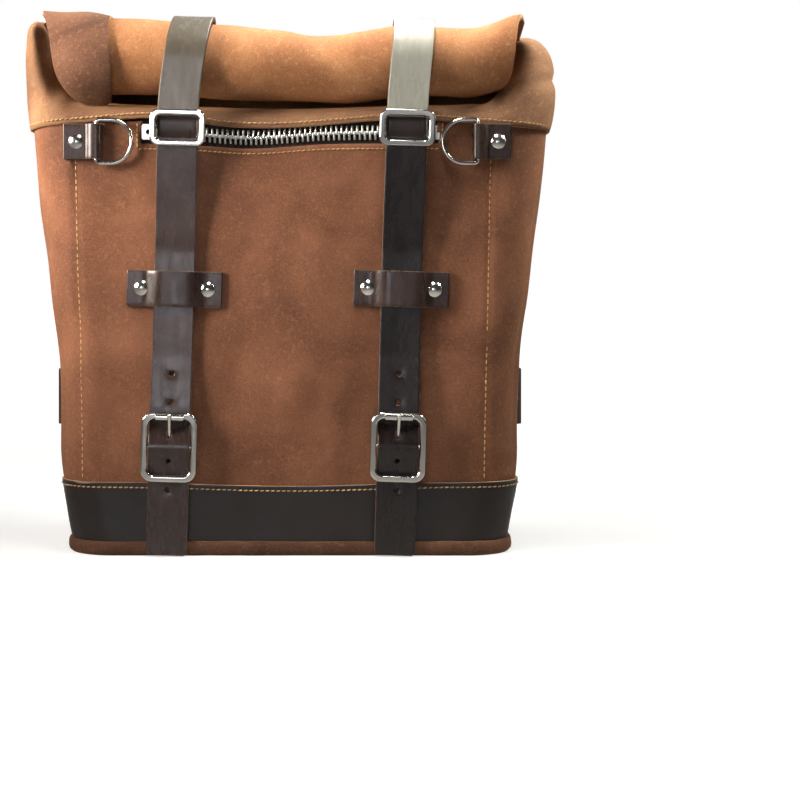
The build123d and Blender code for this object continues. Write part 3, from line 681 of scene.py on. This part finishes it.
def rollSection(x, angle, extra=0.0):
    # spiral: radius R(x) + extra less one lap each turn, round the middle (y, z(x))
    body = sampled(roll["body"], x)
    turned = np.maximum(angle - roll["startAngle"], 0) / 360
    radius = body[..., 1] + extra - roll["lap"] * turned
    turn = np.radians(angle)
    y = roll["middleY"] + radius * np.cos(turn)
    z = body[..., 0] + radius * np.sin(turn)
    return stacked(x, y, z), stacked(0 * x, np.cos(turn), np.sin(turn))


u = np.linspace(0, 1, 210)
angles = roll["startAngle"] + np.linspace(0, 360 * roll["turns"], 150)
uGrid, aGrid = np.meshgrid(u, angles)
rightEnd = sampled(roll["rightEnd"], aGrid)[..., 0]
leftEnd = sampled(roll["leftEnd"], aGrid)[..., 0]
xGrid = leftEnd + (rightEnd - leftEnd) * uGrid
points, normal = rollSection(xGrid, aGrid)
isOuter = 1 - smoothStep(aGrid, 330, 400)
soft = ripple(xGrid, aGrid * 0.42, 12, ((120, 0.8), (64, 0.7), (33, 0.3)))
nearStrap = np.exp(-((xGrid + 70) / 20) ** 2) + np.exp(-((xGrid - 72) / 20) ** 2)
points = points + normal * (soft * 1.2 * isOuter * (1 - nearStrap))[..., None]
dent = np.exp(-((xGrid - 26 - (aGrid - 150) * 0.28) / 10) ** 2) * np.exp(-((aGrid - 140) / 45) ** 2)
points = points - normal * (1.6 * dent)[..., None]
# the sheet that comes up from the back: a Bezier curve from the wall's top, straight up, to the roll's tangent
t = np.linspace(0, 1, 34)[:-1, None, None]
touch = points[0]
way = np.array([0, -np.sin(np.radians(roll["startAngle"])), np.cos(np.radians(roll["startAngle"]))])
start = np.stack([touch[:, 0], np.full(len(u), walls["backY"] + 0.1), np.full(len(u), 268.0)], 1)
first, second = start + [0, 0, 32], touch - way * 42
rear = (1 - t)**3 * start + 3 * (1 - t)**2 * t * first + 3 * (1 - t) * t**2 * second + t**3 * touch
rearWave = 1.5 * ripple(rear[..., 0], rear[..., 1], 17, ((90, 1.0), (47, 0.6))) * np.sin(np.pi * t[..., 0])
strapLine = np.exp(-((rear[..., 0] + 70) / 20) ** 2) + np.exp(-((rear[..., 0] - 72) / 20) ** 2)
rear[..., 2] += rearWave * (1 - strapLine) - 0.8 * np.sin(np.pi * t[..., 0])
sheetPoints = np.vstack([rear, points])
mouth = makeMesh("rolledMouth", sheetPoints.reshape(-1, 3), gridFaces(len(sheetPoints), len(u), turned=True),
                 looks["rollSuede"], looks["paleEdge"])
thicken(mouth, roll["sheet"], 1)
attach(mouth, "bag")
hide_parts("roll_top", "mouth_batten")

# the folded end that wraps the roll on the left
ear = {
    "leftEnd": ((50, -156), (90, -158), (115, -155.5), (135, -153), (160, -149.5), (180, -148), (205, -145),
                (225, -139.5), (245, -131.5), (262, -123)),
    "rightEnd": -112.0, "extra": 3.3, "from": 50.0, "to": 262.0, "thick": 2.2,
}
u = np.linspace(0, 1, 60)
angles = np.linspace(ear["from"], ear["to"], 90)
uGrid, aGrid = np.meshgrid(u, angles)
leftEnd = sampled(ear["leftEnd"], aGrid)[..., 0]
xGrid = ear["rightEnd"] + (leftEnd - ear["rightEnd"]) * uGrid + 1.2 * np.sin(np.radians(aGrid * 2.2)) * (1 - uGrid)
body = sampled(roll["body"], xGrid)
turn = np.radians(aGrid)
radius = body[..., 1] + ear["extra"] + 1.6 * uGrid + 0.9 * ripple(xGrid, aGrid * 0.42, 41, ((50, 1.0), (27, 0.6)))
radius = radius - 1.6 * (1 - uGrid) ** 6
y = roll["middleY"] + radius * np.cos(turn) + 7.0 * uGrid**3
z = body[..., 0] + radius * np.sin(turn) + 1.2 * uGrid * np.sin(turn)
earPiece = makeMesh("foldedEnd", stacked(xGrid, y, z).reshape(-1, 3), gridFaces(90, 60),
                    looks["earSuede"], looks["paleEdge"])
thicken(earPiece, ear["thick"], 1)
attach(earPiece, "bag")
print("rolled mouth made")


# zip: tapes, teeth and the stitched lip of its slot

zipper = {"z": 265.0, "left": -78.0, "right": 90.0, "pitch": 3.25, "y": -70.6}


def toothRow(name, up, node):
    # each tooth is a small rounded block: rings of 8 points along z, wide at the head and narrow at the shank
    at = np.arange(zipper["left"] + (0 if up > 0 else zipper["pitch"] / 2), zipper["right"], zipper["pitch"])
    heights = np.array([-1.0, -0.8, 0.4, 1.0, 1.5, 4.1, 4.55])
    halfX = np.array([0.5, 0.9, 1.0, 0.8, 0.72, 0.76, 0.5])
    halfY = np.array([0.8, 1.5, 1.8, 1.6, 1.5, 1.6, 1.1])
    turn = np.linspace(0, 2 * np.pi, 9)[:-1] + np.pi / 8
    circle = np.stack([np.cos(turn), np.sin(turn)], 1)
    ring = np.sign(circle) * np.abs(circle) ** 0.6
    local = np.stack([ring[None, :, 0] * halfX[:, None], ring[None, :, 1] * halfY[:, None],
                      np.repeat(heights[:, None] * up, 8, 1)], -1).reshape(-1, 3)
    centre = np.stack([at, np.full(len(at), zipper["y"] - 0.3), zipper["z"] - zipSag(at)], 1)
    points = (centre[:, None] + local[None]).reshape(-1, 3)
    faces = gridFaces(7, 8, wrap=True, turned=up < 0)
    ends = np.array([[3, 2, 1, 0], [7, 6, 5, 4], [7, 4, 3, 0], [48, 49, 50, 51], [52, 53, 54, 55], [48, 51, 52, 55]])
    ends = ends if up > 0 else ends[:, ::-1]
    faces = np.vstack([faces, ends])
    allFaces = (faces[None] + (np.arange(len(at)) * 56)[:, None, None]).reshape(-1, 4)
    thing = makeMesh(name, points, allFaces, looks["zipMetal"])
    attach(thing, "bag")
    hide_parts(node)
    return thing


toothRow("teethUpper", 1, "zip_teeth_upper")
toothRow("teethLower", -1, "zip_teeth_lower")

tapes = (("tapeUpper", 1.2, 8.0, "zip_tape_upper"), ("tapeLower", -15.0, -1.2, "zip_tape_lower"))
for name, low, high, node in tapes:
    x = np.linspace(-95.5, 95.5, 140)
    step = np.linspace(low, high, 8)
    xGrid, dGrid = np.meshgrid(x, step)
    bead = 0.5 * np.exp(-((np.abs(dGrid) - 1.6) / 0.7) ** 2)
    tape = np.stack([xGrid, zipper["y"] + 1.1 - bead + 0 * xGrid, zipper["z"] - zipSag(xGrid) + dGrid], -1)
    thing = makeMesh(name, tape.reshape(-1, 3), gridFaces(8, 140), looks["tapeCloth"])
    thicken(thing, 0.8, None, 1.0)
    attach(thing, "bag")
    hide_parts(node)

x = np.linspace(-95.2, 95.2, 200)
z = 254.8 - zipSag(x)
path, normal = onWall(wallAtX(x, z), z, 0.25)
threadRow("slotThreadLow", path, normal, 3.1, 2.7, 0.42, 0.18)
for name, at in (("slotThreadLeft", -95.8), ("slotThreadRight", 95.8)):
    z = np.linspace(255.5, 270.5, 30)
    path, normal = onWall(wallAtX(at + 0 * z, z), z, 0.25)
    threadRow(name, path, normal, 3.1, 2.7, 0.42, 0.1)
print("zip made")


# straps

strapLines = {"left": -72.5, "right": 69.5, "middleZ": 160.0, "lean": 1.6}
strapCut = {
    "width": 25.4, "thick": 3.0, "holeR": 1.75, "holes": (42.2, 60.1, 96.0, 113.9), "slot": 77.0,
    # the run as (out from the front wall, height), up to where it leaves the slide
    "front": ((7.1, 1.0), (7.1, 53.0), (13.9, 68.6), (6.4, 85.0), (6.5, 93.0), (2.8, 122.0), (2.8, 190.0),
              (11.4, 268.0)),
    "skew": {"left": 7.5, "right": 4.2},      # how far the tops are pulled sideways on the roll
    "rearY": 69.3, "rearLow": 243.0,
}


def onStrap(side, across, out, z):
    # strap frame to object: x turns with the strap's lean about its middle height
    lean = np.radians(strapLines["lean"])
    dz = z - strapLines["middleZ"]
    x = strapLines[side] + across * np.cos(lean) + dz * np.sin(lean)
    z = strapLines["middleZ"] + dz * np.cos(lean) - across * np.sin(lean)
    return stacked(x, walls["frontY"] - out, z)


def punched(rows, columns, row, column, radius, stretch=1.0, block=2, reach=5):
    # moves of grid points round a hole: a square ring blends to a circle, (1 - w) * circle + w * square
    dRow, dColumn = np.meshgrid(np.arange(rows) - row, np.arange(columns) - column, indexing="ij")
    ring = np.maximum(np.abs(dRow), np.abs(dColumn)).astype(float)
    near = (ring >= block) & (ring <= reach)
    safe = np.maximum(ring, 1.0)
    far = np.maximum(np.hypot(dRow, dColumn), 1e-6)
    w = np.clip((ring - block) / (reach - block), 0, 1)
    toRow = ((1 - w) * dRow / far * radius * stretch + w * dRow / safe * reach) - dRow
    toColumn = ((1 - w) * dColumn / far * radius + w * dColumn / safe * reach) - dColumn
    return near * toRow, near * toColumn, ring


def makeStrap(side):
    # a sheet over length s and width v, bent over buckle, slide and roll, with punched holes
    over = sampled(roll["body"], strapLines[side] + 5)
    radius = over[1] + 0.35 + strapCut["thick"] / 2
    front = [(walls["frontY"] - out, z) for out, z in strapCut["front"]]
    overRoll = arcPoints((roll["middleY"], over[0]), radius, 186, 62, 60)
    rear = [(strapCut["rearY"] - 9, 303.0), (strapCut["rearY"], 293.0), (strapCut["rearY"], strapCut["rearLow"])]
    line = smoothRun(np.vstack([front, overRoll, rear]), 2.6, 1.0)
    halfCount = 13
    v = np.linspace(-1, 1, 2 * halfCount + 1) * strapCut["width"] / 2
    rows, columns = len(line), len(v)
    moveRow, moveColumn = np.zeros((rows, columns)), np.zeros((rows, columns))
    cut = np.full((rows, columns), 99.0)
    for z, stretch in [(z, 1.0) for z in strapCut["holes"]] + [(strapCut["slot"], 1.9)]:
        row = np.argmin(np.abs(line[:rows // 2, 1] - z))
        byRow, byColumn, ring = punched(rows, columns, row, halfCount, strapCut["holeR"], stretch)
        moveRow, moveColumn, cut = moveRow + byRow, moveColumn + byColumn, np.minimum(cut, ring)
    s = np.arange(rows)[:, None] + moveRow
    across = v[None] + moveColumn * (v[1] - v[0])
    # the tip's corners are rounded
    tip = np.clip(4.0 - s, 0, 4.0)
    across = across * (1 - 0.16 * (1 - np.sqrt(np.clip(1 - (tip / 4.0) ** 2, 0, 1))))
    y = np.interp(s, np.arange(rows), line[:, 0])
    z = np.interp(s, np.arange(rows), line[:, 1])
    tangent = np.gradient(line, axis=0)
    tangent /= np.linalg.norm(tangent, axis=1, keepdims=True)
    normal = np.stack([np.interp(s, np.arange(rows), part) for part in (-tangent[:, 1], tangent[:, 0])], -1)
    dimple = np.exp(-((cut - 2) / 1.6) ** 2) * (cut >= 2)
    # hollowed a little across, wavy above the buckle, and sunk round the holes
    waves = 0.1 * ripple(across, s, 51, ((90, 1.0), (41, 0.5))) * smoothStep(z, 84, 110)
    cup = 0.2 * (across / 12.7) ** 2 + waves - 0.25 * dimple
    y, z = y + normal[..., 0] * cup, z + normal[..., 1] * cup
    top = np.argmax(line[:, 1])
    slide = np.argmin(np.abs(line[:top, 1] - 274.0))
    skew = smoothStep(s, slide, top + 6) * (1 - smoothStep(s, top + 24, rows - 34))
    points = onStrap(side, across + strapCut["skew"][side] * skew, walls["frontY"] - y, z)
    faces = gridFaces(rows, columns, turned=True)
    isHole = (cut.ravel()[faces] <= 2).all(1)
    name = "strap" + side.capitalize()
    thing = makeMesh(name, points.reshape(-1, 3), faces[~isHole], looks["strapLeather" + side.capitalize()],
                     looks["strapEdge"])
    thicken(thing, strapCut["thick"], 1, 0.0)
    soften = thing.modifiers.new("softened", "BEVEL")
    soften.width, soften.segments, soften.limit_method, soften.angle_limit = 0.45 * mm, 2, "ANGLE", np.radians(50)
    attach(thing, "bag")
    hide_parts("strap_" + side)


for side in ("left", "right"):
    makeStrap(side)

# where a strap turns round its slide's bar it stands up in the frame
for side in ("left", "right"):
    across = np.linspace(-1, 1, 34)
    upward = np.linspace(-1, 1, 22)
    aGrid, zGrid = np.meshgrid(across, upward)
    hump = np.sqrt(np.clip(1 - np.abs(zGrid) ** 2.6, 0, 1)) * np.clip(1 - np.abs(aGrid) ** 24, 0, 1) ** 0.5
    slope = 0.111 * zGrid * 8.0
    bulge = onStrap(side, aGrid * 12.8, 12.0 + slope + 2.6 * hump - 0.5, 267.0 + zGrid * 7.6)
    thing = makeMesh("strapFold" + side.capitalize(), bulge.reshape(-1, 3), gridFaces(22, 34), looks["foldLeather"])
    thicken(thing, 1.0)
    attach(thing, "strap_slider_" + side)
print("straps made")


# keepers, chapes, tabs and loops: strips of leather carried along their runs

strips = {
    "keeper": {"z": 166.8, "high": 22.6, "thick": 2.3, "half": 29.9},
    "tab": {"high": 22.0, "thick": 2.0, "long": 20.5, "z": 259.0, "barOut": 3.75, "left": -121.0, "right": 117.5},
    "sideLoop": {"z": 95.0, "high": 37.0, "thick": 2.8, "y": 4.0},
    "tubeLoop": {"thick": 2.4, "middleR": 9.6, "tail": 42.0},
}


def placeStrip(name, width, thick, path, side, look, node):
    # soften is a fifth of the thickness
    thing = carried(name, leatherEdge(width, thick, 0.2 * thick), path, side, look, looks["strapEdge"])
    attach(thing, "bag")
    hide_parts(node)
    return thing


lean = np.radians(strapLines["lean"])
for side in ("left", "right"):
    cut = strips["keeper"]
    foot, crest = cut["thick"] / 2 + 0.15, 5.9
    run = smoothRun([(-cut["half"], foot), (-17.5, foot), (-10.5, crest - 0.3), (0, crest), (10.5, crest - 0.3),
                     (17.5, foot), (cut["half"], foot)], 2.2)
    placeStrip("keeper" + side.capitalize(), cut["high"], cut["thick"], onStrap(side, run[:, 0], run[:, 1], cut["z"]),
               (np.sin(lean), 0, np.cos(lean)), looks["keeperLeather"], "keeper_" + side)

    chape = smoothRun(np.vstack([[(3.9, 24.0), (3.9, 57.0), (5.9, 65.5)], arcPoints((8.4, 68.6), 2.55, 195, -75)]),
                      0.7, 0.5)
    placeStrip("chape" + side.capitalize(), 24.0, 1.5, onStrap(side, 0.0, chape[:, 0], chape[:, 1]),
               (np.cos(lean), 0, -np.sin(lean)), looks["keeperLeather"], "buckle_chape_" + side)

    cut = strips["tab"]
    away = -1 if side == "left" else 1
    half = cut["thick"] / 2
    fold = np.vstack([[(cut["long"], half + 0.1), (5.0, half + 0.1), (1.5, half + 0.3)],
                      arcPoints((0, cut["barOut"]), 2.6, 262, 80),
                      [(3.2, 5.9), (6.0, 3.5), (cut["long"], 3.3)]])
    fold = smoothRun(fold, 0.8, 0.5)
    path = np.stack([cut[side] + away * fold[:, 0], walls["frontY"] - fold[:, 1], np.full(len(fold), cut["z"])], 1)
    placeStrip("ringTab" + side.capitalize(), cut["high"], cut["thick"], path, (0, 0, 1), looks["keeperLeather"],
               "dring_tab_" + side)

    cut = strips["sideLoop"]
    low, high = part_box("side_loop_" + side)
    inner, outer = (low[0], high[0]) if away > 0 else (high[0], low[0])
    foot, crest = abs(inner) / mm + cut["thick"] / 2, abs(outer) / mm - cut["thick"] / 2
    run = smoothRun([(-29.8, foot), (-17, foot), (-13, crest - 0.4), (0, crest), (13, crest - 0.4), (17, foot),
                     (29.8, foot)], 1.6)
    path = np.stack([away * run[:, 1], cut["y"] + run[:, 0], np.full(len(run), cut["z"])], 1)
    placeStrip("sideLoop" + side.capitalize(), cut["high"], cut["thick"], path, (0, 0, 1), looks["loopLeather"],
               "side_loop_" + side)

cut = strips["tubeLoop"]
for where in ("left", "right", "lower"):
    node = "tube_loop_" + where
    low, high = np.array(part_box(node)) / mm
    y, z = walls["backY"] + 10.8, high[2] - 10.7
    foot = walls["backY"] + 0.15 + cut["thick"] / 2
    ring = arcPoints((y, z), cut["middleR"], 186, -150, 60)
    run = smoothRun(np.vstack([[(foot, z - cut["tail"]), (foot, z - 8)], ring, [(foot + 2.6, z - 11)]]), 0.9, 0.6)
    path = np.stack([np.full(len(run), (low[0] + high[0]) / 2), run[:, 0], run[:, 1]], 1)
    placeStrip("tubeLoop" + where.capitalize(), high[0] - low[0], cut["thick"], path, (1, 0, 0), looks["loopLeather"],
               node)
print("leather strips made")


# the pocket's cloth bag behind the zip, folded once at its foot

pocket = {"half": 94.0, "near": 4.5, "far": 10.3, "foot": 120.0, "nearTop": 249.0, "farTop": 267.5, "thick": 0.7}
frontY = walls["frontY"]
run = smoothRun([(frontY + pocket["near"], pocket["nearTop"]), (frontY + pocket["near"], pocket["foot"]),
                 (frontY + pocket["far"], pocket["foot"]), (frontY + pocket["far"], pocket["farTop"])], 1.5, 1.5)
xGrid = np.broadcast_to(np.linspace(-pocket["half"], pocket["half"], 90), (len(run), 90))
yGrid = run[:, :1] + 0.9 * ripple(xGrid, run[:, 1:], 61, ((80, 1.0), (37, 0.5))) * smoothStep(-run[:, 1:], -240, -200)
lining = makeMesh("pocketBag", np.stack([xGrid, yGrid, np.broadcast_to(run[:, 1:], xGrid.shape)], -1).reshape(-1, 3),
                  gridFaces(len(run), 90), looks["liningCloth"])
thicken(lining, pocket["thick"], None, 0.0)
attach(lining, "bag")
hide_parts("pocket_lining")
print("pocket made")


# CAD pieces keep their shape and get their finish

bothSides = lambda *names: tuple(name + side for name in names for side in ("_left", "_right"))
finishes = {
    "nickel": bothSides("buckle_frame", "buckle_roller", "buckle_prong", "strap_slider", "dring"),
    "rivetNickel": bothSides("keeper_rivets", "dring_rivet", "side_loop_rivets", "strap_anchor_rivets",
                             "tube_loop_rivets") + ("tube_loop_rivets_lower",),
    "zipMetal": ("zip_slider", "zip_pull", "zip_stops"),
    "board": ("back_board", "base_board"),
}
for look, nodes in finishes.items():
    for node in nodes:
        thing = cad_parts[node]
        for slot in thing.material_slots:
            slot.material = looks[look]
print("CAD pieces finished")


# studio

studio = {
    "distance": 0.95, "eye": (0.0, 0.17),        # camera before the front wall, level with the bag's middle
    "frameWidth": 0.5016, "frameMiddle": (0.069, 0.0972), "sensor": 36.0,
    "paper": "#fcfcfb",
}

floor = makeMesh("floor", [[-9000, -9000, 0], [9000, -9000, 0], [9000, 9000, 0], [-9000, 9000, 0]], [[0, 1, 2, 3]])
floorMaterial, tree, where = startMaterial("matPaper")
paper = ramp(tree, noiseAt(tree, where, 300, 2), [(0.3, "#b4b3b1"), (0.7, "#bbbab8")])
# the paper is seen white, fully so away from the bag, but throws little light back up
away = addNode(tree, "VectorMath", {"operation": "LENGTH"}, {0: where}).outputs["Value"]
white = addNode(tree, "MapRange", {"From Min": 0.3, "From Max": 1.0, "To Min": 0.66, "To Max": 1.05},
                {"Value": away}).outputs[0]
seen = addNode(tree, "LightPath").outputs["Is Camera Ray"]
glow = addNode(tree, "Math", {"operation": "MULTIPLY"}, {0: white, 1: seen}).outputs[0]
finishMaterial(tree, {"Roughness": 0.95, "Emission Color": toLinear(studio["paper"])},
               {"Base Color": paper, "Emission Strength": glow})
giveMaterials(floor, floorMaterial)

world = bpy.context.scene.world or bpy.data.worlds.new("studioWorld")
bpy.context.scene.world = world
world.use_nodes = True
# a pale sweep to look at; what lights the bag is dim in front of it and brighter behind
skyTree = world.node_tree
ahead = addNode(skyTree, "SeparateXYZ", {}, {0: addNode(skyTree, "TexCoord").outputs["Generated"]}).outputs[1]
share = addNode(skyTree, "Math", {"operation": "MULTIPLY_ADD", 1: 0.5, 2: 0.5}, {0: ahead}).outputs[0]
seen = addNode(skyTree, "LightPath").outputs["Is Camera Ray"]
sky = mixColours(skyTree, "MIX", seen, ramp(skyTree, share, [(0.35, 0.04), (0.85, 0.42)]), (1.0, 1.0, 1.0, 1))
skyTree.links.new(sky, skyTree.nodes["Background"].inputs["Color"])
skyTree.nodes["Background"].inputs["Strength"].default_value = 1.0


def turnedTo(place, target):
    # columns of the turn: side = up x away, over = away x side, away = (place - target), all of length 1
    away = np.array(place, float) - np.array(target, float)
    away /= np.linalg.norm(away)
    side = np.cross([0, 0, 1.0], away)
    side /= np.linalg.norm(side)
    turned = np.eye(4)
    turned[:3] = np.stack([side, np.cross(away, side), away, np.array(place, float)], 1)
    return Matrix(turned.tolist())


def softBox(name, place, target, size, power, colour="#ffffff", spread=180.0):
    # a rectangular lamp at its place, turned to shine along the line to its target
    light = bpy.data.lights.new(name, "AREA")
    light.shape, light.size, light.size_y = "RECTANGLE", size[0], size[1]
    light.energy, light.spread = power, np.radians(spread)
    light.color = toLinear(colour)[:3]
    thing = bpy.data.objects.new(name, light)
    bpy.context.scene.collection.objects.link(thing)
    thing.matrix_world = turnedTo(place, target)
    thing.visible_camera = False
    return thing


softBox("keyBox", (-0.47, -0.24, 0.36), (-0.17, -0.07, 0.26), (0.22, 0.26), 1.05, "#fff4e8", 58.0)
softBox("topBox", (0.04, -0.055, 0.62), (0.03, -0.055, 0.3), (0.56, 0.12), 2.4, "#fffdf8", 120.0)
softBox("rimBox", (0.9, 0.1, 0.6), (0.1, 0, 0.28), (0.4, 0.6), 2.2, "#fbf8ec")
softBox("shoulderBox", (0.75, -0.1, 0.85), (0.19, 0.02, 0.33), (0.2, 0.2), 0.5, "#fdf8ea", 28.0)
softBox("leftCard", (-0.22, -1.6, 0.28), (-0.07, 0, 0.17), (0.26, 0.4), 2.4, "#f4f6ff")
softBox("rightCard", (0.3, -1.6, 0.3), (0.07, 0, 0.2), (0.3, 0.4), 0.35, "#f6f8ff")

lens = bpy.data.cameras.new("camera")
camera = bpy.data.objects.new("camera", lens)
bpy.context.scene.collection.objects.link(camera)
eye = (studio["eye"][0], walls["frontY"] * mm - studio["distance"], studio["eye"][1])
camera.matrix_world = turnedTo(eye, (eye[0], 0.0, eye[2]))
lens.sensor_width = studio["sensor"]
lens.lens = studio["sensor"] * studio["distance"] / studio["frameWidth"]
lens.shift_x = (studio["frameMiddle"][0] - eye[0]) / studio["frameWidth"]
lens.shift_y = (studio["frameMiddle"][1] - eye[2]) / studio["frameWidth"]
bpy.context.scene.camera = camera
bpy.context.scene.view_settings.view_transform = "Standard"
print("studio set")
